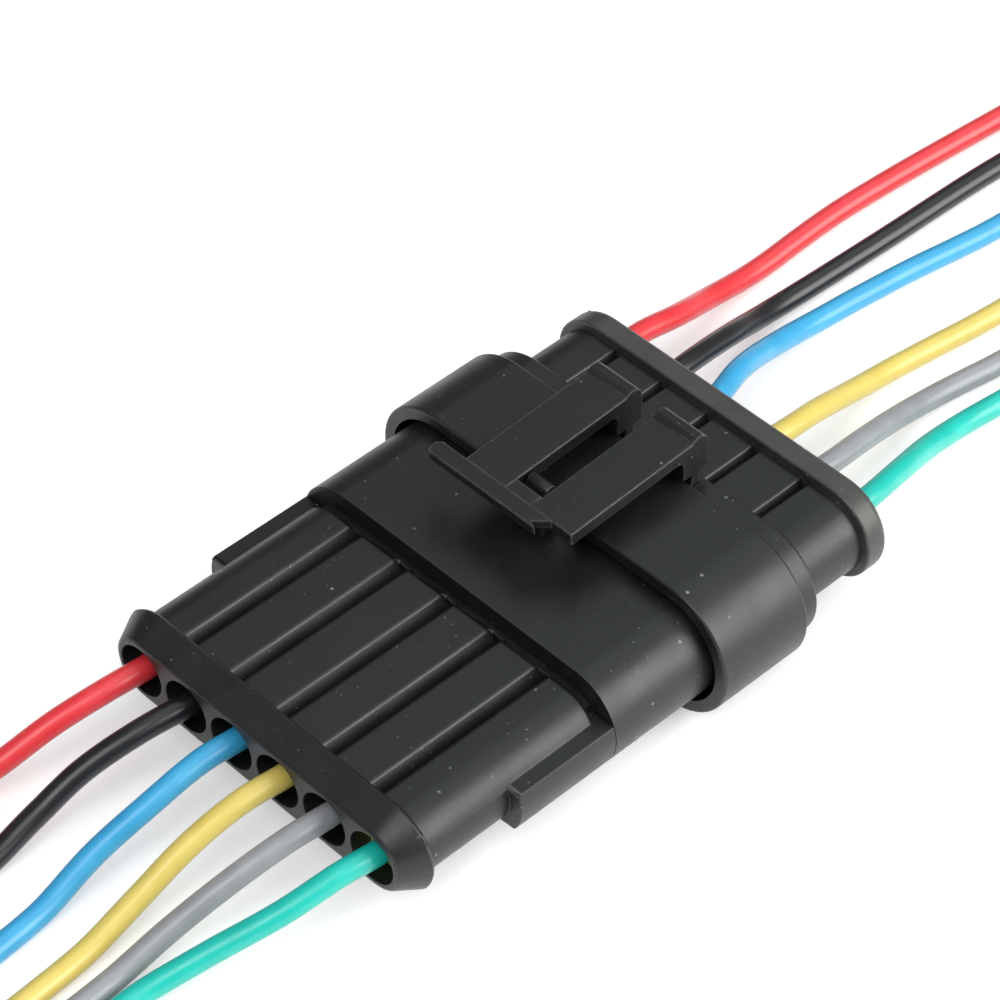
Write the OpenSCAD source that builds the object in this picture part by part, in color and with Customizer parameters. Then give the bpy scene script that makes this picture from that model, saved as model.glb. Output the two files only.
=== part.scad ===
// Sealed in-line wire connector: a ribbed cap half and a collared plug half, mated and latched.
// X runs along the mating direction from the cap to the plug, Y along the row of contacts, Z up.
// The origin is under the middle of the mated pair, on the surface that the collar rests on.

/* [Contacts] */
// Distance between neighbouring contacts
pitch = 6; // [5.8:0.1:6.4]
// Diameter of the wire's insulation
wire_d = 2.3; // [1.8:0.1:2.4]
// Diameter of a contact pin
pin_d = 1.5; // [1.2:0.1:1.6]
// Free length of a pin in front of the cap's lock
pin_reach = 8; // [6:0.5:9]
// Radial play between a pin and its socket
pin_play = 0.05; // [0.03:0.01:0.08]
// Outer diameter of a terminal's crimp barrel
barrel_d = 3; // [2.7:0.1:3]
// Diameter of the passage that a terminal sits in
passage_d = 3.5; // [3.3:0.1:3.8]
// Radial play of a terminal's locking collar in its passage
collar_play = 0.05; // [0.03:0.01:0.1]

/* [Wire seals] */
// Diameter of the round cavity behind each contact
cavity_d = 5.3; // [5:0.1:5.4]
// Depth of that cavity
cavity_depth = 12.2; // [11.5:0.1:13]
// Length of a wire seal
seal_len = 6; // [5:0.2:6.4]
// How far a wire seal sits inside its cavity
seal_inset = 4.2; // [3:0.2:4.6]
// Depth of the grooves between a wire seal's ribs
seal_groove = 0.45; // [0.3:0.05:0.6]
// Radial play of a seal on its wire and in its cavity
seal_play = 0.05; // [0.03:0.01:0.1]

/* [Cap half] */
// Half height of the rear flange
cap_flange_r = 4.8; // [4.4:0.1:5]
// Thickness of the rear flange
cap_flange_t = 3.1; // [2.6:0.1:3.8]
// How much lower the rear flange is at its rear edge
cap_flange_taper = 1.35; // [0.8:0.05:1.45]
// Half height of the ribbed body
cap_body_r = 3.75; // [3.6:0.05:4]
// Length of the body from the flange to the shroud
cap_body_len = 21.1; // [19:0.1:23]
// Rounding at the front ends of the ridges
ridge_round = 0.6; // [0.4:0.1:0.9]
// Length of the neck between the ridges and the shroud
neck_len = 0.8; // [0.5:0.1:1.5]
// Half height of that neck
neck_r = 3.3; // [3.1:0.05:3.5]
// Width of the grooves between the ridges
groove_w = 1.7; // [1.2:0.1:2]
// Depth of the grooves between the ridges
groove_depth = 0.75; // [0.4:0.05:0.9]
// Half height of the shroud
shroud_r = 5.2; // [5:0.1:5.3]
// Thickness of the shroud's wall
shroud_wall = 1.2; // [1:0.05:1.25]
// Length of shroud seen between the body and the collar
shroud_show = 11.65; // [10.5:0.05:13]
// Thickness of the shroud's floor
shroud_floor = 2; // [1.5:0.1:2.5]
// Length of the side rails behind the shroud
rail_len = 11.5; // [9:0.1:13]
// Height of a side rail's top above the contact row
rail_top = 1.85; // [1.4:0.05:2.2]
// Depth of a side rail's lower edge below the contact row
rail_drop = 3; // [2.5:0.1:3.2]

/* [Plug half] */
// Half height of the collar
collar_r = 7.15; // [7:0.05:7.6]
// Thickness of the collar's wall
collar_wall = 1.3; // [1.1:0.05:1.4]
// Length of the collar
collar_len = 10.7; // [10:0.1:12]
// Thickness of the wall that closes the back of the collar
web_t = 1.2; // [1:0.1:1.6]
// Half height of the ring behind the collar
ring_r = 6.1; // [5.9:0.05:6.3]
// Thickness of that ring
ring_t = 2.4; // [2.2:0.1:2.8]
// Width of the crevice between the collar and the ring
crevice_w = 0.2; // [0.1:0.05:0.25]
// Half height of the body behind the ring
plug_body_r = 4.25; // [4:0.05:4.4]
// Length of that body
plug_body_len = 7.75; // [7:0.05:9]
// Depth of the shallow grooves on that body
plug_groove_depth = 0.35; // [0.2:0.05:0.5]
// Half height of the rear flange
plug_flange_r = 5.1; // [4.8:0.1:5.4]
// Thickness of the rear flange
plug_flange_t = 2.7; // [2.4:0.1:3.2]
// Rounding of the rear flange's outer edge
plug_flange_round = 0.9; // [0.6:0.1:1.2]
// Half height of the tongue inside the shroud
tongue_r = 3.2; // [3:0.05:3.3]
// Free space at the ends of the mated tongue and shroud
mate_gap = 0.45; // [0.3:0.05:0.8]

/* [Locks and face seal] */
// Thickness of the cap's contact lock
cap_lock_t = 1.6; // [1.2:0.1:2]
// Thickness of the plug's contact lock
plug_lock_t = 1.8; // [1.4:0.1:2.2]
// Radial play of the locks and the face seal
lock_play = 0.1; // [0.05:0.01:0.15]
// Length of the face seal on the tongue
face_seal_len = 4.6; // [4:0.1:6]
// Gap between the face seal's ribs and the shroud
face_seal_gap = 0.15; // [0.1:0.01:0.2]

/* [Latch lever] */
// Width of the lever across both arms
lever_w = 13.5; // [12:0.1:15]
// Thickness of the lever's arms
lever_t = 1.4; // [1.2:0.1:1.6]
// Length of the lever from its hinge to its front edge
lever_reach = 15.65; // [15:0.05:16.2]
// Height of the lever's top above its hinge
lever_rise = 5.65; // [5.2:0.05:6]
// Slope of the lever down to its front, in degrees
lever_slope = 3; // [1:0.5:4]
// Width of the slot between the arms
slot_w = 3.2; // [2.8:0.1:3.6]
// Length of the bar that closes the slot at the front
crossbar_len = 1.5; // [1.3:0.1:1.7]
// Thickness of that bar
crossbar_t = 0.5; // [0.45:0.05:0.7]
// Length of the lip in front of the bar
lip_len = 1.75; // [1.4:0.05:2]
// Reach of the lip to the +Y side of the middle
lip_left = 10; // [9:0.1:11]
// Reach of the lip to the -Y side of the middle
lip_right = 3.6; // [3:0.1:4.5]
// Thickness of the lip
lip_t = 1; // [0.8:0.05:1.2]
// Radius of the hinge foot under each arm
foot_r = 0.8; // [0.7:0.05:0.85]
// Radial play of that foot in its groove
foot_play = 0.05; // [0.03:0.01:0.08]
// Height by which the catch overlaps the bar that hooks on it
latch_bite = 0.45; // [0.3:0.05:0.5]
// Free travel of the bar before it meets the catch
latch_travel = 0.8; // [0.7:0.05:1]
// Length of the catch's rounded head
catch_len = 1.3; // [1.1:0.1:1.4]
// Play between the catch and each side of the slot
catch_side_play = 0.3; // [0.2:0.05:0.4]
// Clearance round the catch where it stands close to the collar
catch_gap = 0.45; // [0.3:0.05:0.6]

/* [Hidden] */
$fn = 48;
over = 1;

COLOURS = ["red", "black", "blue", "yellow", "grey", "green"];
ways = len(COLOURS);
row_half = (ways - 1) * pitch / 2;
function contact_y(i) = row_half - i * pitch;

// Heights and stations along X
z_row = collar_r;
mated_len = cap_flange_t + cap_body_len + shroud_show + collar_len + ring_t + plug_body_len
          + plug_flange_t;
x_cap_back = -mated_len / 2;
x_cap_flange = x_cap_back + cap_flange_t;
x_shroud = x_cap_flange + cap_body_len;
x_floor = x_shroud + shroud_floor;
x_collar = x_shroud + shroud_show;
x_ring = x_collar + collar_len;
x_web = x_ring - web_t;
x_mouth = x_web - mate_gap;
x_plug_body = x_ring + ring_t;
x_plug_flange = x_plug_body + plug_body_len;
x_plug_back = x_plug_flange + plug_flange_t;
x_ridge_end = x_shroud - neck_len;
x_cap_lock = x_floor + cap_lock_t;
x_tongue = x_cap_lock + mate_gap;
x_plug_lock = x_tongue + plug_lock_t;
x_cap_cavity = x_cap_back + cavity_depth;
x_plug_cavity = x_plug_back - cavity_depth;
shroud_in_r = shroud_r - shroud_wall;
collar_in_r = collar_r - collar_wall;
pin_r = pin_d / 2;
barrel_r = barrel_d / 2;
passage_r = passage_d / 2;
wire_r = wire_d / 2;
cavity_r = cavity_d / 2;
edge_soft = 0.4;
edge_crisp = 0.25;
crevice_depth = 0.4;

// Terminals: the wire ends where its crimp barrel begins
barrel_start = 1.5;
terminal_collar_len = 1;
x_cap_wire = x_cap_cavity - barrel_start;
x_plug_wire = x_plug_cavity + barrel_start;
x_pin_tip = x_cap_lock + pin_reach;
socket_lip = 0.3;
socket_wall = 0.55;
x_socket = x_plug_lock + socket_lip;
x_socket_end = x_pin_tip + 1.5;

// Hinge of the lever, in a groove along the ring's top
foot_sink = 0.3;
x_hinge = x_ring + 1.1;
z_hinge = z_row + ring_r - foot_sink;
leg_front = 1.5;
leg_back = 1.7;
leg_neck = 0.9;
leg_neck_h = 1.7;
lever_fillet = 0.8;
ridge_r = 1.2;
ridge_rise = 0.35;
lip_rise = 0.2;
arm_w = (lever_w - slot_w) / 2;

// Lower rear edge of the lever's bar, where it hooks on the catch
bar_x = -(lever_reach - crossbar_len);
bar_z = lever_rise - crossbar_t;
x_hook = x_hinge + bar_x * cos(lever_slope) - bar_z * sin(lever_slope);
z_hook = z_hinge + bar_x * sin(lever_slope) + bar_z * cos(lever_slope);
catch_w = slot_w - 2 * catch_side_play;
x_catch = x_hook + latch_travel + catch_len / 2;
z_catch = z_hook + latch_bite - catch_len / 2;
gusset_len = 1.2;
gusset_drop = 1.2;

// Each wire is straight up to this depth inside its housing's face
wire_bend = 1.7;

// Wire routes after that, by colour: down to the surface and along it
CAP_ROUTES = [
    [[-33, 15.5, 7], [-38.5, 16.6, 5.8], [-45, 18.1, 3.2], [-53, 20, 1.3], [-74, 22, 1.2],
     [-95, 21.5, 1.2], [-116, 22.5, 1.2]],
    [[-34.4, 9.9, 6.8], [-40, 11, 5.2], [-45.3, 11.4, 3], [-52, 11.2, 1.3], [-73, 12.4, 1.2],
     [-95, 12.2, 1.2], [-116, 13.4, 1.2]],
    [[-33, 3.4, 7], [-38.5, 3.6, 5.8], [-44.5, 4.2, 3.5], [-52, 3.7, 1.3], [-73, 2.4, 1.2],
     [-95, 3.2, 1.2], [-116, 2.4, 1.2]],
    [[-33.5, -2.5, 7], [-39, -2.1, 5.6], [-45, -2, 3.2], [-52, -2.3, 1.3], [-73, -3.4, 1.2],
     [-95, -3.4, 1.2], [-116, -3, 1.2]],
    [[-33.5, -8.5, 7], [-39, -7.6, 5.6], [-45, -6.4, 3.1], [-52, -6.1, 1.3], [-73, -7, 1.2],
     [-95, -8, 1.2], [-116, -8.6, 1.2]],
    [[-32.8, -14.4, 7], [-38.5, -13.2, 5.6], [-45, -10.5, 3], [-52, -8.8, 1.3], [-73, -10.4, 1.2],
     [-95, -12.4, 1.2], [-116, -13.6, 1.2]],
];
PLUG_ROUTES = [
    [[33.2, 15.7, 7], [39, 16.1, 5.6], [45.6, 17.7, 2.9], [53, 18.5, 1.3], [66.6, 19, 1.2],
     [88.9, 17.5, 1.2], [116, 15, 1.2]],
    [[33.7, 9.6, 6.9], [40.8, 11.1, 4.9], [48.5, 13, 1.9], [56, 13.2, 1.2], [65.4, 12.9, 1.2],
     [83.3, 12.4, 1.2], [116, 9.6, 1.2]],
    [[33.3, 4.6, 6.9], [38, 6.4, 5.8], [44.7, 8.5, 3], [52, 9.2, 1.3], [63, 8.1, 1.2],
     [76, 6.2, 1.2], [116, 3.6, 1.2]],
    [[33.6, -3.2, 6.9], [39.2, -2.4, 5.5], [46, -1.1, 2.8], [53, -0.7, 1.3], [66.2, -2.3, 1.2],
     [90, -3.4, 1.2], [116, -2.6, 1.2]],
    [[33.6, -9.1, 6.9], [38.6, -8.3, 5.7], [45.7, -6.6, 2.9], [52.5, -6.1, 1.3], [62, -7.4, 1.2],
     [90, -9, 1.2], [116, -8.6, 1.2]],
    [[33, -14.7, 7], [38.8, -13.4, 5.6], [46, -11.3, 2.8], [53, -10.7, 1.3], [66, -12.2, 1.2],
     [90, -14.2, 1.2], [116, -14.6, 1.2]],
];
wire_sides = 8;

HOUSING = "#26272a";
LOCK = "#c8451e";
SEAL = "#b9c234";
FACE_SEAL = "#d0622a";
TIN = "#b9b6ac";
WIRE_COLOUR = ["#e02a30", "#1b1b1d", "#2f8fd8", "#e6c545", "#8d9196", "#16a884"];

// Profiles are drawn as (distance from the row's middle plane, station along X)

// Block of half height r from x0 to x1, with its outer corners rounded by a and b
module block(r, x0, x1, a = 0, b = 0) {
    difference() {
        translate([0, x0]) square([r, x1 - x0]);
        if (a > 0)
            translate([r - a, x0 + a]) mirror([0, 1]) corner(a);
        if (b > 0)
            translate([r - b, x1 - b]) corner(b);
    }
}

// What rounding a corner by a takes away, measured from the centre of the rounding
module corner(a) {
    difference() {
        square(a + over);
        circle(a);
    }
}

// Sweep a profile round the row: a half turn about each end contact and straight between them
module row_sweep() {
    for (side = [-1, 1])
        translate([0, side * row_half, z_row]) rotate([90, 0, 90]) rotate([0, 0, -90 * side])
            rotate_extrude(angle = 180) children();
    translate([0, -row_half, z_row]) rotate([-90, -90, 0]) linear_extrude(2 * row_half) {
        children();
        mirror([1, 0]) children();
    }
}

// Turn a profile about the axis of one contact
module contact_turn(i) {
    translate([0, contact_y(i), z_row]) rotate([90, 0, 90]) rotate_extrude() children();
}

// Round bore along a contact's axis
module contact_bore(i, r, x0, x1) {
    translate([x0, contact_y(i), z_row]) rotate([0, 90, 0]) cylinder(r = r, h = x1 - x0);
}

// Bores for all the contacts
module contact_bores(r, x0, x1) {
    for (i = [0 : ways - 1])
        contact_bore(i, r, x0, x1);
}

// V-shaped grooves between the contacts, above and below the row
module grooves(r, depth, x0, x1) {
    for (i = [0 : ways - 2], face = [0, 1])
        translate([x0, contact_y(i) - pitch / 2, z_row]) rotate([face * 180, 0, 0])
            rotate([90, 0, 90]) linear_extrude(x1 - x0)
                polygon([[0, r - depth], [groove_w, r + depth], [-groove_w, r + depth]]);
}

// Flange that is lower at the rear, with both edges broken
module cap_flange_profile() {
    rear_r = cap_flange_r - cap_flange_taper;
    polygon([
        [0, x_cap_back], [rear_r - edge_soft, x_cap_back], [rear_r, x_cap_back + edge_crisp],
        [cap_flange_r, x_cap_flange - edge_soft], [cap_flange_r - edge_crisp, x_cap_flange],
        [0, x_cap_flange]
    ]);
}

// Rear flange, ribbed body and neck of the cap, with its clip rails
module cap_housing() {
    color(HOUSING) difference() {
        union() {
            difference() {
                row_sweep() {
                    cap_flange_profile();
                    block(cap_body_r, x_cap_flange - over, x_ridge_end, 0, ridge_round);
                    block(neck_r, x_ridge_end - ridge_round - over, x_shroud);
                }
                grooves(cap_body_r, groove_depth, x_cap_flange, x_ridge_end);
            }
            for (side = [-1, 1])
                side_rail(side);
        }
        contact_bores(cavity_r, x_cap_back - over, x_cap_cavity);
        contact_bores(passage_r, x_cap_cavity - over, x_shroud + over);
    }
}

// Rail behind one end of the shroud, flush with the shroud's round end
module side_rail(side) {
    rail_in = cap_body_r / 2;
    rail_h = rail_top + rail_drop;
    intersection() {
        translate([x_shroud - rail_len, side * row_half, z_row]) rotate([0, 90, 0])
            cylinder(r = shroud_r, h = rail_len);
        translate([0, side * (row_half + rail_in + shroud_r), z_row]) rotate([90, 0, 0])
            linear_extrude(2 * shroud_r, center = true)
                difference() {
                    translate([x_shroud - rail_len, -rail_drop]) square([rail_len, rail_h]);
                    translate([x_shroud - rail_len + edge_soft, rail_top - edge_soft])
                        mirror([1, 0]) corner(edge_soft);
                }
    }
}

// Hollow front of the cap, with a floor that the contacts stand in
module cap_shroud() {
    color(HOUSING) difference() {
        row_sweep() difference() {
            block(shroud_r, x_shroud, x_mouth, 0, edge_crisp);
            block(shroud_in_r, x_floor, x_mouth + over);
        }
        contact_bores(passage_r, x_shroud - over, x_floor + over);
    }
}

// Catch for the lever on top of the shroud: a post with a round head and a gusset in front of it
module latch_catch() {
    foot_z = z_row + shroud_r;
    post = 0.45 * catch_len;
    color(HOUSING) translate([x_catch, catch_w / 2, 0]) rotate([90, 0, 0]) union() {
        translate([0, z_catch, 0]) cylinder(h = catch_w, d = catch_len);
        linear_extrude(catch_w) polygon([[post, foot_z], [-gusset_len, foot_z], [-post, z_catch - gusset_drop],
            [-post, z_catch], [post, z_catch]]);
    }
}

// Ring, body and rear flange of the plug
module plug_housing() {
    color(HOUSING) difference() {
        row_sweep() {
            block(ring_r - crevice_depth, x_ring, x_plug_body - edge_soft);
            block(ring_r, x_ring + crevice_w, x_plug_body, 0, edge_soft);
            block(plug_body_r, x_plug_body - over, x_plug_flange + over);
            block(plug_flange_r, x_plug_flange, x_plug_back, edge_crisp, plug_flange_round);
        }
        grooves(plug_body_r, plug_groove_depth, x_plug_body, x_plug_flange);
        contact_bores(cavity_r, x_plug_cavity, x_plug_back + over);
        contact_bores(passage_r, x_ring - over, x_plug_cavity + over);
        for (side = [-1, 1])
            translate([x_hinge, side * (slot_w + arm_w) / 2, z_hinge]) rotate([90, 0, 0])
                cylinder(r = foot_r + foot_play, h = arm_w + 2 * lock_play, center = true);
    }
}

// Collar round the shroud, closed by a web at its back
module plug_collar() {
    color(HOUSING) difference() {
        row_sweep() difference() {
            block(collar_r, x_collar, x_ring, edge_crisp, edge_soft);
            block(collar_in_r, x_collar - over, x_web);
        }
        contact_bores(passage_r, x_web - over, x_ring + over);
        catch_relief();
    }
}

// Way for the catch through the collar's front edge, where a short lever brings the catch that far back
module catch_relief() {
    width = catch_w + 2 * catch_gap;
    translate([x_shroud, -width / 2, z_row])
        cube([x_catch + catch_len / 2 + catch_gap - x_shroud, width, collar_r + over]);
}

// Tongue that carries the sockets into the shroud
module plug_tongue() {
    color(HOUSING) difference() {
        row_sweep() block(tongue_r, x_plug_lock, x_web);
        contact_bores(passage_r, x_plug_lock - over, x_web + over);
    }
}

// Locks: plates across the row with a hole for each pin
module lock_plate(r, x0, x1, hole_r) {
    difference() {
        row_sweep() block(r, x0, x1, 0, 0);
        contact_bores(hole_r, x0 - over, x1 + over);
    }
}

module cap_secondary_lock() {
    color(LOCK) lock_plate(shroud_in_r - lock_play, x_floor, x_cap_lock, pin_r + lock_play);
}

module plug_secondary_lock() {
    color(LOCK) lock_plate(tongue_r, x_tongue, x_plug_lock, pin_r + 2 * lock_play);
}

// Ribbed seal round the root of the tongue
module interface_seal() {
    x0 = x_web - face_seal_len;
    rib = face_seal_len / 5;
    low = (tongue_r + shroud_in_r) / 2;
    color(FACE_SEAL) row_sweep() difference() {
        block(shroud_in_r - face_seal_gap, x0, x_web);
        block(tongue_r + seal_play, x0 - over, x_web + over);
        for (k = [1, 3])
            translate([low, x0 + k * rib]) square([shroud_r, rib]);
    }
}

// Lever: an arm on each side of the slot, joined at the front by a bar with its lip
module lever_place() {
    translate([x_hinge, 0, z_hinge]) rotate([0, -lever_slope, 0]) children();
}

module latch_arm(side) {
    color(HOUSING) lever_place() translate([0, side * (slot_w + arm_w) / 2, 0]) rotate([90, 0, 0])
        linear_extrude(arm_w, center = true) lever_side();
}

module latch_bar() {
    color(HOUSING) lever_place() {
        translate([-lever_reach - lip_len / 2, -slot_w / 2, bar_z])
            cube([crossbar_len + lip_len / 2, slot_w, crossbar_t]);
        translate([0, 0, lever_rise + lip_rise - lip_t]) linear_extrude(lip_t) lip_plan();
    }
}

// Side view of one arm: plate, leg with its neck and round foot, and the grip ridge at the rear
module lever_side() {
    ridge_x = leg_back - ridge_r;
    ridge_z = lever_rise + ridge_rise - ridge_r;
    difference() {
        union() {
            translate([-lever_reach, lever_rise - lever_t]) square([lever_reach + leg_back, lever_t]);
            translate([-leg_front, leg_neck_h]) square([leg_front + leg_back, lever_rise - leg_neck_h]);
            translate([-leg_neck / 2, 0]) square([leg_neck, lever_rise - lever_t]);
            circle(foot_r);
            translate([ridge_x, ridge_z]) circle(ridge_r);
        }
        translate([ridge_x, ridge_z]) corner(ridge_r);
    }
    translate([-leg_front - lever_fillet, lever_rise - lever_t - lever_fillet])
        difference() {
            square([lever_fillet + leg_front / 2, lever_fillet + lever_t / 2]);
            circle(lever_fillet);
        }
}

// Plan of the lip, with the rough end that the moulding has on the -Y side
module lip_plan() {
    x0 = -lever_reach - lip_len;
    x1 = -lever_reach;
    rough = lip_len / 4;
    polygon([
        [x1, lip_left - rough], [x1 - rough, lip_left], [x0 + rough, lip_left], [x0, lip_left - rough],
        [x0, -lip_right - rough], [x0 + rough, -lip_right + rough], [x0 + 2 * rough, -lip_right],
        [x0 + 3 * rough, -lip_right - rough], [x1, -lip_right - 2 * rough]
    ]);
}

// Pin contact: crimp barrel behind, locking collar, round pin with a tapered tip
module pin_terminal(i) {
    tip = pin_r / 2;
    color(TIN) contact_turn(i) {
        polygon([[0, x_cap_wire], [barrel_r, x_cap_wire], [barrel_r, x_floor - terminal_collar_len],
                 [pin_r, x_floor - terminal_collar_len / 2], [pin_r, x_pin_tip - 2 * tip],
                 [tip, x_pin_tip], [0, x_pin_tip]]);
        block(passage_r - collar_play, x_cap_cavity + 2 * terminal_collar_len,
              x_cap_cavity + 3 * terminal_collar_len);
    }
}

// Socket contact: a sleeve for the pin in front, locking collar, crimp barrel behind
module socket_terminal(i) {
    bore_r = pin_r + pin_play;
    sleeve_r = bore_r + socket_wall;
    color(TIN) contact_turn(i) difference() {
        union() {
            block(sleeve_r, x_socket, x_socket_end + over);
            block(barrel_r, x_socket_end, x_plug_wire);
            block(passage_r - collar_play, x_plug_cavity - 3 * terminal_collar_len,
                  x_plug_cavity - 2 * terminal_collar_len);
        }
        block(bore_r, x_socket - over, x_socket_end);
    }
}

// Wire seal: a rubber sleeve with three ribs, starting at x0
module wire_seal(i, x0) {
    rib = seal_len / 5;
    outer = cavity_r - seal_play;
    color(SEAL) contact_turn(i) difference() {
        block(outer, x0, x0 + seal_len);
        block(wire_r + seal_play, x0 - over, x0 + seal_len + over);
        for (k = [1, 3])
            translate([outer - seal_groove, x0 + k * rib]) square([cavity_r, rib]);
    }
}

// Wire: one tube of wire_sides sides along its route
function unit(v) = v / norm(v);
function along(path, k) = unit(path[min(k + 1, len(path) - 1)] - path[max(k - 1, 0)]);
function ring_points(p, t) =
    let (side = unit(cross([0, 0, 1], t)), up = cross(t, side))
    [for (s = [0 : wire_sides - 1])
        let (a = 360 * (s + 0.5) / wire_sides) p + wire_r * (cos(a) * side + sin(a) * up)];

module tube(path) {
    n = len(path);
    m = wire_sides;
    points = [for (k = [0 : n - 1]) each ring_points(path[k], along(path, k))];
    sides = [for (k = [0 : n - 2], s = [0 : m - 1])
        let (a = k * m + s, b = k * m + (s + 1) % m)
        each [[a, a + m, b], [b, a + m, b + m]]];
    ends = [[for (s = [0 : m - 1]) s], [for (s = [m - 1 : -1 : 0]) (n - 1) * m + s]];
    polyhedron(points, concat(sides, ends));
}

// Straight stretch of a wire on its contact's axis
function wire_start(i, x0, x1) = [for (x = [x0, x1]) [x, contact_y(i), z_row]];

module cap_wire(i) {
    color(WIRE_COLOUR[i]) tube(concat(wire_start(i, x_cap_wire, x_cap_back + wire_bend), CAP_ROUTES[i]));
}

module plug_wire(i) {
    color(WIRE_COLOUR[i]) tube(concat(wire_start(i, x_plug_wire, x_plug_back - wire_bend), PLUG_ROUTES[i]));
}

cap_housing();
cap_shroud();
latch_catch();
cap_secondary_lock();
plug_housing();
plug_collar();
plug_tongue();
plug_secondary_lock();
interface_seal();
latch_arm(1);  // latch_arm_left
latch_arm(-1);  // latch_arm_right
latch_bar();
for (i = [0 : ways - 1]) {
    pin_terminal(i);
    socket_terminal(i);
    wire_seal(i, x_cap_back + seal_inset);
    wire_seal(i, x_plug_back - seal_inset - seal_len);
    cap_wire(i);
    plug_wire(i);
}
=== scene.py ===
"""Looks of the sealed wire connector: moulded housings, latch lever, seals, terminals and wire leads."""
import logging
import math
from dataclasses import dataclass, field, replace
from enum import Enum

import bpy
from mathutils import Matrix, Vector


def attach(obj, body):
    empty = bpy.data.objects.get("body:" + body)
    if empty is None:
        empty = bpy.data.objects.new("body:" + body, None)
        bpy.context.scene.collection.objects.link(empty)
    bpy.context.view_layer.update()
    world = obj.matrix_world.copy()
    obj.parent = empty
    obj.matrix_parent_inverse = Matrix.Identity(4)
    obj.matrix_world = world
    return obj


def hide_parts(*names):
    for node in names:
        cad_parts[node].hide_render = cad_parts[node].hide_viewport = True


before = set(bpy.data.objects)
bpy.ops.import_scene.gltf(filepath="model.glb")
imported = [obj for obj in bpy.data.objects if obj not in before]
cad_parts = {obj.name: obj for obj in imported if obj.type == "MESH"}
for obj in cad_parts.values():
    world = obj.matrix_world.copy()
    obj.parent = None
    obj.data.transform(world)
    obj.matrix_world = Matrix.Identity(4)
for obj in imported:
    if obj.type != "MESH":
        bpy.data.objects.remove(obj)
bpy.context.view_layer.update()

log = logging.getLogger("connector")

MM = 0.001
PITCH = 6 * MM
ROW_HEIGHT = 7.15 * MM
SHORTEST = 1e-9
WHITE = (1.0, 1.0, 1.0, 1.0)
LATCH = "latch"

Colour = tuple[float, float, float]
Point = tuple[float, float, float]
Tree = bpy.types.NodeTree
Socket = bpy.types.NodeSocket


class Half(Enum):
    """The two halves of the connector, by the name of the body that carries their pieces."""

    CAP = "cap_half"
    PLUG = "plug_half"


class Lead(Enum):
    """The leads in their order across the row, from +Y to -Y."""

    RED = "red"
    BLACK = "black"
    BLUE = "blue"
    YELLOW = "yellow"
    GREY = "grey"
    GREEN = "green"


class Join(Enum):
    """The ways to make one signal of two."""

    PRODUCT = "MULTIPLY"
    LARGER = "MAXIMUM"


def combine(tree: Tree, how: Join, first: Socket, second: Socket) -> Socket:
    """Make one signal of two.

    Args:
        tree: The node tree to add it to.
        how: What is done with them.
        first: One signal.
        second: The other signal.

    Returns:
        The joined signal.
    """
    both = tree.nodes.new("ShaderNodeMath")
    both.operation = how.value
    tree.links.new(first, both.inputs[0])
    tree.links.new(second, both.inputs[1])
    return both.outputs["Value"]


@dataclass(frozen=True)
class Pattern:
    """A noise: features per millimetre, finer layers, scale along each axis, and the span that counts."""

    per_mm: float
    detail: float
    stretch: Point = (1, 1, 1)
    low: float = 0.0
    high: float = 1.0


@dataclass(frozen=True)
class Relief:
    """A bump: how strongly it shows, and the height of a full step in millimetres."""

    strength: float
    depth_mm: float


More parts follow.
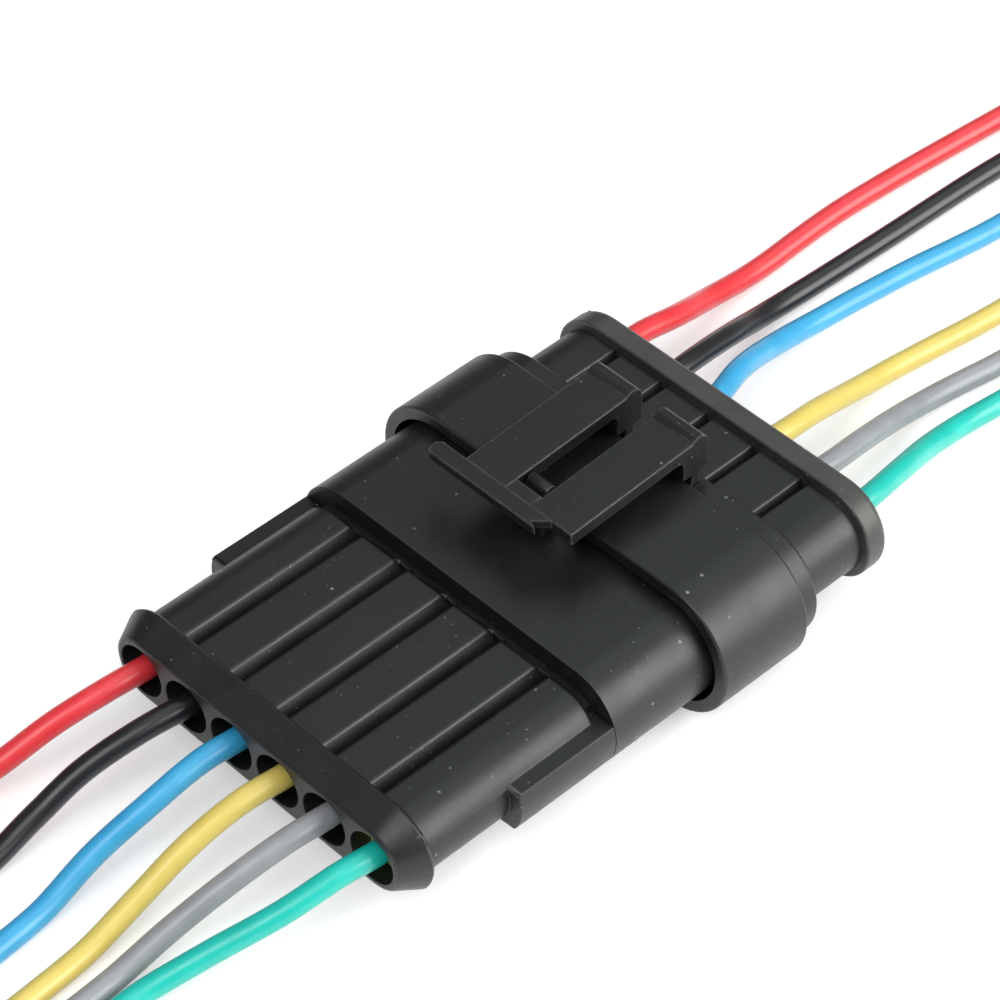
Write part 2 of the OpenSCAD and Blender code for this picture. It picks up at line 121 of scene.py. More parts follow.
@dataclass(frozen=True)
class Finish:
    """A procedural surface: its name, its two tones and how it scatters light."""

    name: str
    tone: Colour
    second_tone: Colour
    roughness: float
    roughness_spread: float
    specular: float = 0.5

    def start(self) -> tuple[bpy.types.Material, Tree, bpy.types.Node]:
        """Make an empty material with its shader.

        Returns:
            The material, its node tree and its Principled shader.
        """
        material = bpy.data.materials.new(self.name)
        material.use_nodes = True
        tree = material.node_tree
        shader = tree.nodes["Principled BSDF"]
        shader.inputs["Specular IOR Level"].default_value = self.specular
        return material, tree, shader

    @staticmethod
    def noise(tree: Tree, pattern: Pattern) -> bpy.types.Node:
        """Add a noise texture on Object coordinates.

        Args:
            tree: The node tree to add it to.
            pattern: The noise.

        Returns:
            The noise node.
        """
        where = tree.nodes.new("ShaderNodeTexCoord")
        turn = tree.nodes.new("ShaderNodeMapping")
        turn.inputs["Scale"].default_value = pattern.stretch
        texture = tree.nodes.new("ShaderNodeTexNoise")
        texture.inputs["Scale"].default_value = pattern.per_mm / MM
        texture.inputs["Detail"].default_value = pattern.detail
        tree.links.new(where.outputs["Object"], turn.inputs["Vector"])
        tree.links.new(turn.outputs["Vector"], texture.inputs["Vector"])
        return texture

    @staticmethod
    def ramp(tree: Tree, source: Socket, low: float, high: float) -> Socket:
        """Spread the part of a signal between low and high over 0 to 1.

        Args:
            tree: The node tree to add it to.
            source: The signal.
            low: The value that becomes 0.
            high: The value that becomes 1.

        Returns:
            The spread signal.
        """
        spread = tree.nodes.new("ShaderNodeMapRange")
        spread.inputs["From Min"].default_value = low
        spread.inputs["From Max"].default_value = high
        tree.links.new(source, spread.inputs["Value"])
        return spread.outputs["Result"]

    def signal(self, tree: Tree, pattern: Pattern) -> Socket:
        """Spread the span of a noise that counts over 0 to 1.

        Args:
            tree: The node tree to add it to.
            pattern: The noise and its span.

        Returns:
            The signal.
        """
        return self.ramp(tree, self.noise(tree, pattern).outputs["Fac"], pattern.low, pattern.high)

    @staticmethod
    def mix(tree: Tree, share: Socket, first: Socket | Colour, second: Socket | Colour) -> Socket:
        """Blend two colours by a signal.

        Args:
            tree: The node tree to add it to.
            share: The share of the second colour.
            first: The colour, or the socket, where the share is 0.
            second: The colour, or the socket, where the share is 1.

        Returns:
            The blended colour.
        """
        blend = tree.nodes.new("ShaderNodeMix")
        blend.data_type = "RGBA"
        tree.links.new(share, blend.inputs["Factor"])
        inputs = [socket for socket in blend.inputs if socket.type == "RGBA"]
        for socket, colour in zip(inputs, (first, second)):
            if isinstance(colour, Socket):
                tree.links.new(colour, socket)
            else:
                socket.default_value = (*colour, 1.0)
        return next(socket for socket in blend.outputs if socket.type == "RGBA")

    def paint(self, tree: Tree, shader: bpy.types.Node, share: Socket) -> None:
        """Colour a surface with its two tones.

        Args:
            tree: The node tree to add it to.
            shader: The shader that takes the colour.
            share: The share of the second tone.
        """
        tree.links.new(self.mix(tree, share, self.tone, self.second_tone), shader.inputs["Base Color"])

    def rough(self, tree: Tree, shader: bpy.types.Node, signal: Socket) -> None:
        """Let a signal carry the roughness round its middle value.

        Args:
            tree: The node tree to add it to.
            shader: The shader that takes the roughness.
            signal: A signal from 0 to 1.
        """
        spread = tree.nodes.new("ShaderNodeMapRange")
        spread.inputs["To Min"].default_value = self.roughness - self.roughness_spread
        spread.inputs["To Max"].default_value = self.roughness + self.roughness_spread
        tree.links.new(signal, spread.inputs["Value"])
        tree.links.new(spread.outputs["Result"], shader.inputs["Roughness"])

    def bump(self, tree: Tree, shader: bpy.types.Node, pattern: Pattern, relief: Relief) -> None:
        """Let a noise raise the surface.

        Args:
            tree: The node tree to add it to.
            shader: The shader that takes the normal.
            pattern: The noise.
            relief: How high it stands and how strongly it shows.
        """
        raised = tree.nodes.new("ShaderNodeBump")
        raised.inputs["Strength"].default_value = relief.strength
        raised.inputs["Distance"].default_value = relief.depth_mm * MM
        tree.links.new(self.noise(tree, pattern).outputs["Fac"], raised.inputs["Height"])
        tree.links.new(raised.outputs["Normal"], shader.inputs["Normal"])


@dataclass(frozen=True)
class MouldedPlastic(Finish):
    """Satin moulded plastic with a fine grain, dust in patches and outer edges painted lighter: wear and
    painted highlight.

    Sizes whose names end in _mm are in millimetres. Pairs are the values that become 0 and 1.
    """

    clouds: Pattern = Pattern(0.25, 5, low=0.35, high=0.7)
    cloud_gain: float = 1.4
    grain: Pattern = Pattern(2.4, 4)
    grain_relief: Relief = Relief(0.35, 0.03)
    # The patches where outer edges are painted lighter, as wear and as a painted highlight along the edges.
    edge_patches: Pattern = Pattern(1.2, 4)
    edge_patch_full: float = 0.75
    edge_lightening: float = 0.5
    edge_mm: float = 0.22
    edge_turn: tuple[float, float] = (0.995, 0.86)
    edge_open: tuple[float, float] = (0.80, 0.98)
    edge_samples: int = 4
    # Behind this place along X the moulding is painted lighter in uneven clouds: scuffs, and a painted sheen.
    scuff_and_sheen_from: float = math.inf
    scuff_and_sheen_blend: float = 0.1 * MM
    scuff_and_sheen_clouds: tuple[float, float] = (-1.6, 1)
    dust: Colour = (0.20, 0.20, 0.19)
    dust_cell_mm: float = 0.8
    dust_mm: float = 0.10
    dust_share: float = 0.6
    dust_fade: float = 0.3
    dust_core: float = 0.45
    dust_patches: Pattern = Pattern(0.10, 3, low=0.44, high=0.62)
    coarse_cell: float = 3.1
    coarse_size: float = 1.9
    ragged: Pattern = Pattern(5.0, 2)
    ragged_size: float = 1.6

    def material(self) -> bpy.types.Material:
        """Build the material.

        Returns:
            The material.
        """
        material, tree, shader = self.start()
        cloud = self.signal(tree, self.clouds)
        colour = self.mix(tree, cloud, self.tone, tuple(self.cloud_gain * c for c in self.tone))
        # Outer edges painted lighter in patches: wear, and a painted highlight.
        edge_patch_mask = self.signal(tree, replace(self.edge_patches, low=self.edge_patch_full - self.edge_lightening, high=self.edge_patch_full))
        edge_wear_and_highlight = combine(tree, Join.PRODUCT, self.edges(tree), edge_patch_mask)
        colour = self.mix(tree, edge_wear_and_highlight, colour, self.second_tone)
        # The end behind the scuff line painted lighter: scuffs, and a painted sheen.
        if math.isfinite(self.scuff_and_sheen_from):
            uneven = self.ramp(tree, cloud, *self.scuff_and_sheen_clouds)
            scuff_and_sheen = combine(tree, Join.PRODUCT, self.behind(tree), uneven)
            colour = self.mix(tree, scuff_and_sheen, colour, self.second_tone)
        colour = self.mix(tree, self.specks(tree), colour, self.dust)
        tree.links.new(colour, shader.inputs["Base Color"])
        self.rough(tree, shader, cloud)
        self.bump(tree, shader, self.grain, self.grain_relief)
        return material

    def behind(self, tree: Tree) -> Socket:
        """Tell the end of the moulding that is painted lighter, with scuffs and a painted sheen, from the
        rest.

        Args:
            tree: The node tree to add it to.

        Returns:
            A signal that is 1 behind the place where the scuffs and the painted sheen begin.
        """
        place = tree.nodes.new("ShaderNodeTexCoord")
        split = tree.nodes.new("ShaderNodeSeparateXYZ")
        tree.links.new(place.outputs["Object"], split.inputs["Vector"])
        return self.ramp(tree, split.outputs["X"], self.scuff_and_sheen_from - self.scuff_and_sheen_blend,
                         self.scuff_and_sheen_from + self.scuff_and_sheen_blend)

    def edges(self, tree: Tree) -> Socket:
        """Find the outer edges of the moulding, and leave its inner corners out.

        Args:
            tree: The node tree to add it to.

        Returns:
            A signal that is 0 on flat walls and rises to 1 at sharp outer edges.
        """
        rounded = tree.nodes.new("ShaderNodeBevel")
        rounded.samples = self.edge_samples
        rounded.inputs["Radius"].default_value = self.edge_mm * MM
        plain = tree.nodes.new("ShaderNodeNewGeometry")
        turned = tree.nodes.new("ShaderNodeVectorMath")
        turned.operation = "DOT_PRODUCT"
        tree.links.new(rounded.outputs["Normal"], turned.inputs[0])
        tree.links.new(plain.outputs["Normal"], turned.inputs[1])
        open_sky = tree.nodes.new("ShaderNodeAmbientOcclusion")
        open_sky.samples = self.edge_samples
        open_sky.only_local = True
        open_sky.inputs["Distance"].default_value = 2 * self.edge_mm * MM
        return combine(tree, Join.PRODUCT, self.ramp(tree, turned.outputs["Value"], *self.edge_turn),
                       self.ramp(tree, open_sky.outputs["AO"], *self.edge_open))

    def specks(self, tree: Tree) -> Socket:
        """Scatter fine dust in patches, and a few coarse grains anywhere.

        Args:
            tree: The node tree to add it to.

        Returns:
            A signal that is 1 on a speck.
        """
        fine = combine(tree, Join.PRODUCT, self.grains(tree, self.dust_cell_mm, self.dust_mm),
                       self.signal(tree, self.dust_patches))
        coarse = self.grains(tree, self.coarse_cell * self.dust_cell_mm, self.coarse_size * self.dust_mm)
        return combine(tree, Join.LARGER, fine, coarse)

    def grains(self, tree: Tree, cell_mm: float, size_mm: float) -> Socket:
        """Scatter grains of dust with ragged outlines.

        Args:
            tree: The node tree to add it to.
            cell_mm: The usual distance between two places where a grain may lie.
            size_mm: The radius of a grain.

        Returns:
            A signal that is 1 on a grain.
        """
        where = tree.nodes.new("ShaderNodeTexCoord")
        ragged = tree.nodes.new("ShaderNodeVectorMath")
        ragged.operation = "MULTIPLY_ADD"
        ragged.inputs[1].default_value = (self.ragged_size * size_mm * MM,) * 3
        tree.links.new(self.noise(tree, self.ragged).outputs["Color"], ragged.inputs[0])
        tree.links.new(where.outputs["Object"], ragged.inputs[2])
        cells = tree.nodes.new("ShaderNodeTexVoronoi")
        cells.inputs["Scale"].default_value = 1 / (cell_mm * MM)
        tree.links.new(ragged.outputs["Vector"], cells.inputs["Vector"])
        apart = tree.nodes.new("ShaderNodeSeparateColor")
        tree.links.new(cells.outputs["Color"], apart.inputs["Color"])
        empty = 1 - self.dust_share
        chosen = self.ramp(tree, apart.outputs["Red"], empty, empty + self.dust_fade)
        rim = size_mm / cell_mm
        near = self.ramp(tree, cells.outputs["Distance"], rim, self.dust_core * rim)
        return combine(tree, Join.PRODUCT, chosen, near)


@dataclass(frozen=True)
class Insulation(Finish):
    """Soft extruded wire insulation, semi-gloss with faint unevenness."""

    coat: float = 0.25
    coat_roughness: float = 0.22
    clouds: Pattern = Pattern(0.35, 4, low=0.3, high=0.7)
    gloss: Pattern = Pattern(3.0, 3)
    ripple: Pattern = Pattern(1.6, 3, (0.25, 1, 1))
    ripple_relief: Relief = Relief(0.25, 0.05)

    def material(self) -> bpy.types.Material:
        """Build the material.

        Returns:
            The material.
        """
        material, tree, shader = self.start()
        self.paint(tree, shader, self.signal(tree, self.clouds))
        self.rough(tree, shader, self.noise(tree, self.gloss).outputs["Fac"])
        self.bump(tree, shader, self.ripple, self.ripple_relief)
        shader.inputs["Coat Weight"].default_value = self.coat
        shader.inputs["Coat Roughness"].default_value = self.coat_roughness
        return material


@dataclass(frozen=True)
class SealRubber(Finish):
    """Matte silicone rubber with a soft bloom."""

    bloom: Pattern = Pattern(0.9, 4, low=0.3, high=0.75)
    skin: Pattern = Pattern(9.0, 2)
    skin_relief: Relief = Relief(0.3, 0.02)

    def material(self) -> bpy.types.Material:
        """Build the material.

        Returns:
            The material.
        """
        material, tree, shader = self.start()
        bloom = self.signal(tree, self.bloom)
        self.paint(tree, shader, bloom)
        self.rough(tree, shader, bloom)
        self.bump(tree, shader, self.skin, self.skin_relief)
        return material


@dataclass(frozen=True)
class PlatedMetal(Finish):
    """Bright drawn metal with fine lines and tarnish."""

    tarnish: Pattern = Pattern(1.1, 5, low=0.35, high=0.75)
    lines: Pattern = Pattern(6.0, 2, (0.05, 1, 1))
    line_relief: Relief = Relief(0.2, 0.01)

    def material(self) -> bpy.types.Material:
        """Build the material.

        Returns:
            The material.
        """
        material, tree, shader = self.start()
        tarnish = self.signal(tree, self.tarnish)
        self.paint(tree, shader, tarnish)
        self.rough(tree, shader, tarnish)
        self.bump(tree, shader, self.lines, self.line_relief)
        shader.inputs["Metallic"].default_value = 1.0
        return material


# The second tone of the housing plastics lightens their outer edges: wear, and a painted highlight.
HOUSING = MouldedPlastic("housing_plastic", (0.0052, 0.0060, 0.0064), (0.036, 0.037, 0.036), 0.43, 0.04, 0.60)
# The plug body's flange is painted lighter behind x = 26.95 mm: scuffs, and a painted sheen.
PLUG_BODY = replace(HOUSING, name="plug_plastic", second_tone=(0.058, 0.058, 0.053), scuff_and_sheen_from=26.95 * MM)
# The lever's outer edges are painted much lighter: wear, and a painted highlight along them.
LEVER = MouldedPlastic("lever_plastic", (0.0052, 0.0060, 0.0066), (0.130, 0.128, 0.118), 0.44, 0.04, 0.55,
                       edge_mm=0.32, edge_lightening=0.60)
LOCK = MouldedPlastic("lock_plastic", (0.55, 0.075, 0.02), (0.66, 0.14, 0.06), 0.45, 0.06, dust_share=0.1)
WIRE_SEAL = SealRubber("wire_seal_rubber", (0.47, 0.53, 0.05), (0.58, 0.62, 0.12), 0.62, 0.08)
FACE_SEAL = SealRubber("face_seal_rubber", (0.58, 0.15, 0.04), (0.66, 0.22, 0.09), 0.62, 0.08)
TIN = PlatedMetal("tin_plate", (0.66, 0.64, 0.60), (0.46, 0.43, 0.38), 0.30, 0.08)
COPPER = PlatedMetal("copper_strand", (0.80, 0.42, 0.25), (0.55, 0.25, 0.14), 0.32, 0.08)
INSULATION = {
    Lead.RED: Insulation("insulation_red", (0.74, 0.032, 0.042), (0.80, 0.052, 0.064), 0.36, 0.06),
    Lead.BLACK: Insulation("insulation_black", (0.008, 0.008, 0.009), (0.014, 0.014, 0.016), 0.34, 0.06),
    Lead.BLUE: Insulation("insulation_blue", (0.036, 0.345, 0.650), (0.053, 0.405, 0.710), 0.36, 0.06),
    Lead.YELLOW: Insulation("insulation_yellow", (0.700, 0.550, 0.118), (0.760, 0.610, 0.158), 0.38, 0.06),
    Lead.GREY: Insulation("insulation_grey", (0.270, 0.280, 0.300), (0.320, 0.330, 0.350), 0.38, 0.06),
    Lead.GREEN: Insulation("insulation_green", (0.008, 0.485, 0.405), (0.014, 0.550, 0.465), 0.36, 0.06),
}


def dress(piece: bpy.types.Object, material: bpy.types.Material) -> None:
    """Give a piece one material.

    Args:
        piece: The object to dress.
        material: What it is made of.
    """
    piece.data.materials.clear()
    piece.data.materials.append(material)


def select_only(piece: bpy.types.Object) -> None:
    """Make a piece the only selected object, and the active one.

    Args:
        piece: The object to select.
    """
    bpy.ops.object.select_all(action="DESELECT")
    piece.select_set(True)
    bpy.context.view_layer.objects.active = piece


def clear_edges() -> None:
    """Deselect the active mesh all over, so that edges can be selected in code."""
    bpy.ops.object.mode_set(mode="EDIT")
    bpy.ops.mesh.select_mode(type="EDGE")
    bpy.ops.mesh.select_all(action="DESELECT")
    bpy.ops.object.mode_set(mode="OBJECT")


def round_edges(width: float, steps: int, clamp: bool = False) -> None:
    """Round the selected edges of the active mesh.

    Args:
        width: How far the rounding reaches from each edge.
        steps: The number of facets across it.
        clamp: Whether it narrows where edges are too close together.
    """
    bpy.ops.object.mode_set(mode="EDIT")
    bpy.ops.mesh.bevel(offset=width, segments=steps, affect="EDGES", clamp_overlap=clamp)
    bpy.ops.object.mode_set(mode="OBJECT")


@dataclass(frozen=True)
class Grooves:
    """The grooves between the ridges of a body, as its solid has them, and how the mould cut them deeper.

    Levels are distances from the row of contacts. The bottoms lie in the middles between contacts.
    """

    bottom: float
    crest: float
    half_width: float
    deeper: float
    rounding: float
    narrower: float = 0.0
    near: float = 0.03 * MM

    def off_middle(self, place: Vector) -> float:
        """Measure along the row from the middle of the nearest groove.

        Args:
            place: A point of the body.

        Returns:
            The distance, with its sign.
        """
        return place.y - PITCH * round(place.y / PITCH)

    def level(self, place: Vector) -> float:
        """Measure how far a point is above or below the row.

        Args:
            place: A point of the body.

        Returns:
            The distance.
        """
        return abs(place.z - ROW_HEIGHT)

    def on_wall(self, place: Vector) -> bool:
        """Tell whether a point is on a wall of a groove, above its bottom.

        Args:
            place: A point of the body.

        Returns:
            Whether it is.
        """
        level = self.level(place)
        wall = (level - self.bottom) * self.half_width / (self.crest - self.bottom)
        return (self.bottom + self.near < level < self.crest + self.near
                and abs(abs(self.off_middle(place)) - wall) < self.near)

    def holds(self, place: Vector) -> bool:
        """Tell whether a point is in a groove that has been cut deeper, or on its rim.

        Args:
            place: A point of the body.

        Returns:
            Whether it is.
        """
        lowest = self.bottom - self.deeper - self.near
        return (lowest < self.level(place) < self.crest + self.near
                and abs(self.off_middle(place)) < self.half_width + self.rounding + self.near)

    def is_rim(self, one: Vector, other: Vector) -> bool:
        """Tell whether the edge between two points is part of one groove's rim.

        Args:
            one: One end of the edge.
            other: The other end.

        Returns:
            Whether it is.
        """
        same_groove = round(one.y / PITCH) == round(other.y / PITCH)
        return same_groove and self.on_wall(one) and self.on_wall(other)

    def deepen(self, shape: bpy.types.Mesh) -> None:
        """Cut the grooves deeper, so that their walls are steep.

        Args:
            shape: The mesh of the body.
        """
        slope = (self.half_width - self.narrower) / (self.crest - self.bottom + self.deeper)
        for vertex in shape.vertices:
            level, off = self.level(vertex.co), self.off_middle(vertex.co)
            if self.on_wall(vertex.co):
                vertex.co.y += math.copysign((level - self.bottom + self.deeper) * slope, off) - off
            elif abs(off) < self.near and abs(level - self.bottom) < self.near:
                vertex.co.z -= math.copysign(self.deeper, vertex.co.z - ROW_HEIGHT)


@dataclass
class Housings:
    """The mouldings with soft edges, and the locks, seals and terminals on the solids of the frame."""

    soft_edge: float = 0.14 * MM
    edge_steps: int = 2
    crest_steps: int = 4
    weld: float = 0.004 * MM
    rim_weld: float = 0.07 * MM
    short_edge: float = 0.25 * MM
    roomy: tuple[str, ...] = ("cap_housing",)
    flat_angle: float = math.radians(1)
    edge_angle: float = math.radians(32)
    proud_seal: str = "cap_wire_seal_6"
    proud_seal_out: float = 2.1 * MM
    mouldings: dict[str, tuple[str, ...]] = field(default_factory=lambda: {
        Half.CAP.value: ("cap_housing", "cap_shroud", "latch_catch"),
        Half.PLUG.value: ("plug_housing", "plug_collar", "plug_tongue"),
        LATCH: ("latch_arm_left", "latch_arm_right", "latch_bar"),
    })
    plastics: dict[str, MouldedPlastic] = field(default_factory=lambda: {
        "plug_housing": PLUG_BODY,
        **dict.fromkeys(("latch_catch", "latch_arm_left", "latch_arm_right", "latch_bar"), LEVER),
    })
    grooves: dict[str, Grooves] = field(default_factory=lambda: {
        "cap_housing": Grooves(3.00 * MM, 3.75 * MM, 0.85 * MM, deeper=0.85 * MM, rounding=0.26 * MM),
        "plug_housing": Grooves(3.90 * MM, 4.25 * MM, 0.85 * MM, deeper=0.75 * MM, rounding=0.20 * MM,
                                narrower=0.35 * MM),
    })

    def build(self) -> None:
        """Soften the mouldings' edges and dress every solid that stays in view."""
        plastics = {finish: finish.material() for finish in (HOUSING, PLUG_BODY, LEVER)}
        for body, nodes in self.mouldings.items():
            for node in nodes:
                piece = self.soften(node)
                dress(piece, plastics[self.plastics.get(node, HOUSING)])
                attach(piece, body)
                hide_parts(node)
        finishes = {"lock": LOCK.material(), "interface_seal": FACE_SEAL.material(),
                    "wire_seal": WIRE_SEAL.material(), "terminal": TIN.material()}
        for node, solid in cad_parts.items():
            for word, material in finishes.items():
                if word in node:
                    dress(solid, material)
        self.push_out_seal(finishes["wire_seal"])
        log.info("housings, seals and terminals dressed")

    def copy(self, node: str) -> bpy.types.Object:
        """Copy a solid of the frame as a piece of its own, with its corners welded.

        Args:
            node: The name of the solid.

        Returns:
            The copy, as the active object.
        """
        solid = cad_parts[node]
        shape = solid.data.copy()
        shape.transform(solid.matrix_world)
        piece = bpy.data.objects.new(f"soft_{node}", shape)
        bpy.context.scene.collection.objects.link(piece)
        select_only(piece)
        bpy.ops.object.mode_set(mode="EDIT")
        bpy.ops.mesh.select_all(action="SELECT")
        bpy.ops.mesh.remove_doubles(threshold=self.weld)
        bpy.ops.object.mode_set(mode="OBJECT")
        return piece

    def push_out_seal(self, rubber: bpy.types.Material) -> None:
        """Show the one seal that stands close to its cavity's mouth.

        Args:
            rubber: What the seal is made of.
        """
        seal = self.copy(self.proud_seal)
        seal.data.transform(Matrix.Translation((-self.proud_seal_out, 0, 0)))
        bpy.ops.object.shade_smooth_by_angle(angle=self.edge_angle)
        dress(seal, rubber)
        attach(seal, Half.CAP.value)
        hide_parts(self.proud_seal)
        log.info("%s: %.1f mm nearer its mouth", seal.name, self.proud_seal_out / MM)

    def soften(self, node: str) -> bpy.types.Object:
        """Copy a moulding and round its edges as a mould leaves them.

        Args:
            node: The name of the solid.

        Returns:
            The piece with soft edges.
        """
        piece = self.copy(node)
        bpy.ops.object.mode_set(mode="EDIT")
        bpy.ops.mesh.select_all(action="SELECT")
        bpy.ops.mesh.dissolve_limited(angle_limit=self.flat_angle)
        clear_edges()
        if node in self.grooves:
            self.round_crests(piece, self.grooves[node])
        bpy.ops.object.mode_set(mode="EDIT")
        bpy.ops.mesh.select_all(action="DESELECT")
        bpy.ops.mesh.edges_select_sharp(sharpness=self.edge_angle)
        bpy.ops.object.mode_set(mode="OBJECT")
        if node in self.grooves:
            self.leave_out(piece, self.grooves[node])
        round_edges(self.soft_edge, self.edge_steps, clamp=node not in self.roomy)
        self.finish_faces(piece)
        log.info("%s: %d faces", piece.name, len(piece.data.polygons))
        return piece

    def leave_out(self, piece: bpy.types.Object, grooves: Grooves) -> None:
        """Take the grooves and the very short edges out of the selection.

        Args:
            piece: The body.
            grooves: Where its grooves are.
        """
        corners = piece.data.vertices
        for edge in piece.data.edges:
            one, other = (corners[v].co for v in edge.vertices)
            if (one - other).length < self.short_edge or (grooves.holds(one) and grooves.holds(other)):
                edge.select = False

    def round_crests(self, piece: bpy.types.Object, grooves: Grooves) -> None:
        """Deepen a body's grooves and round their rims.

        Args:
            piece: The body.
            grooves: Where its grooves are.
        """
        shape = piece.data
        for vertex in shape.vertices:
            vertex.select = grooves.on_wall(vertex.co)
        bpy.ops.object.mode_set(mode="EDIT")
        bpy.ops.mesh.select_mode(type="VERT")
        bpy.ops.mesh.remove_doubles(threshold=self.rim_weld)
        clear_edges()
        corners = shape.vertices
        rims = [edge for edge in shape.edges if grooves.is_rim(*(corners[v].co for v in edge.vertices))]
        grooves.deepen(shape)
        for edge in rims:
            edge.select = True
        log.info("%s: %d rim edges to round", piece.name, len(rims))
        round_edges(grooves.rounding, self.crest_steps)

    def finish_faces(self, piece: bpy.types.Object) -> None:
        """Clear the slivers that rounding leaves, and shade the faces by their size.

        Args:
            piece: The moulding, as the active object.
        """
        bpy.ops.object.mode_set(mode="EDIT")
        bpy.ops.mesh.select_all(action="SELECT")
        bpy.ops.mesh.remove_doubles(threshold=self.weld)
        bpy.ops.mesh.dissolve_degenerate(threshold=self.weld)
        bpy.ops.object.mode_set(mode="OBJECT")
        bpy.ops.object.shade_smooth_by_angle(angle=self.edge_angle)
        bpy.ops.object.modifier_add(type="WEIGHTED_NORMAL")
        piece.modifiers[-1].keep_sharp = True
        bpy.ops.object.modifier_apply(modifier=piece.modifiers[-1].name)


@dataclass
class Leads:
    """The wires of one half, each along the route that its solid has, with copper strands at its cut end."""

    half: Half
    routes: dict[Lead, list[Point]]
    diameter: float = 2.3 * MM
    face_x: float = 29.7 * MM
    start_x: float = 19 * MM
    bend_x: float = 28 * MM
    samples: int = 5
    wire_steps: int = 6
    line_steps: int = 4
    strand_radius: float = 0.15 * MM
    strand_spacing: float = 0.305 * MM
    strand_stand: float = 0.25 * MM
    strand_rounding: float = 0.04 * MM
    strand_steps: int = 2
    strand_sides: int = 8
    strand_angle: float = math.radians(40)
    strand_rings: tuple[tuple[int, int], ...] = ((1, 6), (2, 12))

    @property
    def side(self) -> int:
        """Tell which way the wires leave.

        Returns:
            -1 behind the cap and 1 behind the plug.
        """
        return -1 if self.half is Half.CAP else 1

    @property
    def prefix(self) -> str:
        """Name the half as its solids do.

        Returns:
            The first word of their names.
        """
        return "cap" if self.half is Half.CAP else "plug"

    def row_place(self, lead: Lead) -> float:
        """Find a lead's contact in the row.

        Args:
            lead: Which lead.

        Returns:
            Its place along the row.
        """
        order = list(Lead)
        return ((len(order) - 1) / 2 - order.index(lead)) * PITCH

    def route(self, lead: Lead) -> list[Vector]:
        """Follow a lead from its terminal to its cut end.

        Args:
            lead: Which lead.

        Returns:
            Points along one smooth line, in metres.
        """
        y = self.row_place(lead)
        inside = [Vector((self.side * x, y, ROW_HEIGHT)) for x in (self.start_x, self.bend_x)]
        knots = inside[1:] + [Vector(p) * MM for p in self.routes[lead]]
        line = inside[:1]
        for k in range(1, len(knots)):
            before = knots[k - 2] if k > 1 else inside[0]
            after = knots[min(k + 1, len(knots) - 1)]
            line += [self.between(before, knots[k - 1], knots[k], after, s / self.samples)
                     for s in range(self.samples)]
        return line + [knots[-1]]

    def between(self, before: Vector, start: Vector, end: Vector, after: Vector, share: float) -> Vector:
        """Place a point on the smooth line through four points, no lower than the floor allows.

        Args:
            before: The point before the stretch.
            start: Where the stretch starts.
            end: Where the stretch ends.
            after: The point after the stretch.
            share: How far along the stretch the point is, from 0 to 1.

        Returns:
            The point.
        """
        span = (end - start).length
        leave = (end - before) * (span / max((end - before).length, SHORTEST))
        arrive = (after - start) * (span / max((after - start).length, SHORTEST))
        square, cube = share**2, share**3
        point = ((2 * cube - 3 * square + 1) * start + (cube - 2 * square + share) * leave
                 + (3 * square - 2 * cube) * end + (cube - square) * arrive)
        point.z = max(point.z, self.diameter / 2)
        return point

    def build(self) -> None:
        bundle = self.bundle(COPPER.material())
        for lead in Lead:
            node = f"{self.prefix}_wire_{lead.value}"
            line = self.route(lead)
            piece = self.wire(node, line, INSULATION[lead].material())
            core = self.strands(f"{node}_strands", line, bundle)
            for part in (piece, core):
                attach(part, self.half.value)
            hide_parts(node)
        bpy.data.meshes.remove(bundle)

    def wire(self, name: str, line: list[Vector], material: bpy.types.Material) -> bpy.types.Object:
        """Make a wire as a round curve.

        Args:
            name: The name of the solid that it stands for.
            line: The points it follows.
            material: Its insulation.

        Returns:
            The wire.
        """
        curve = bpy.data.curves.new(f"lead_{name}", "CURVE")
        curve.dimensions = "3D"
        curve.bevel_depth = self.diameter / 2
        curve.bevel_resolution = self.wire_steps
        curve.resolution_u = self.line_steps
        curve.use_fill_caps = True
        spline = curve.splines.new("BEZIER")
        spline.bezier_points.add(len(line) - 1)
        for knot, place in zip(spline.bezier_points, line):
            knot.co = place
            knot.handle_left_type = "AUTO"
            knot.handle_right_type = "AUTO"
        piece = bpy.data.objects.new(f"lead_{name}", curve)
        bpy.context.scene.collection.objects.link(piece)
        dress(piece, material)
        return piece

    def strand(self) -> bpy.types.Object:
        """Model one copper strand, upright at the origin, with the rim of its cut end rounded.

        Returns:
            The strand, as the active object.
        """
        bpy.ops.object.select_all(action="DESELECT")
        bpy.ops.mesh.primitive_cylinder_add(vertices=self.strand_sides, radius=self.strand_radius,
                                            depth=2 * self.strand_stand)
        strand = bpy.context.active_object
        clear_edges()
        corners = strand.data.vertices
        for edge in strand.data.edges:
            edge.select = all(corners[v].co.z > 0 for v in edge.vertices)
        round_edges(self.strand_rounding, self.strand_steps)
        return strand

    def bundle(self, material: bpy.types.Material) -> bpy.types.Mesh:
        """Lay copies of one strand in rings, as they show at a wire's cut end.

        Args:
            material: The strands' metal.

        Returns:
            The mesh of the bundle, upright at the origin.
        """
        middle = self.strand()
        strands = [middle]
        for ring, count in self.strand_rings:
            out = Matrix.Translation((self.strand_spacing * ring, 0, 0))
            for k in range(count):
                select_only(middle)
                bpy.ops.object.duplicate(linked=False)
                strands.append(bpy.context.active_object)
                strands[-1].data.transform(Matrix.Rotation(2 * math.pi * k / count, 4, "Z") @ out)
        select_only(middle)
        for strand in strands:
            strand.select_set(True)
        bpy.ops.object.join()
        bpy.ops.object.shade_smooth_by_angle(angle=self.strand_angle)
        dress(middle, material)
        shape = middle.data
        bpy.data.objects.remove(middle)
        log.info("%s: %d strands to a wire", self.prefix, len(strands))
        return shape

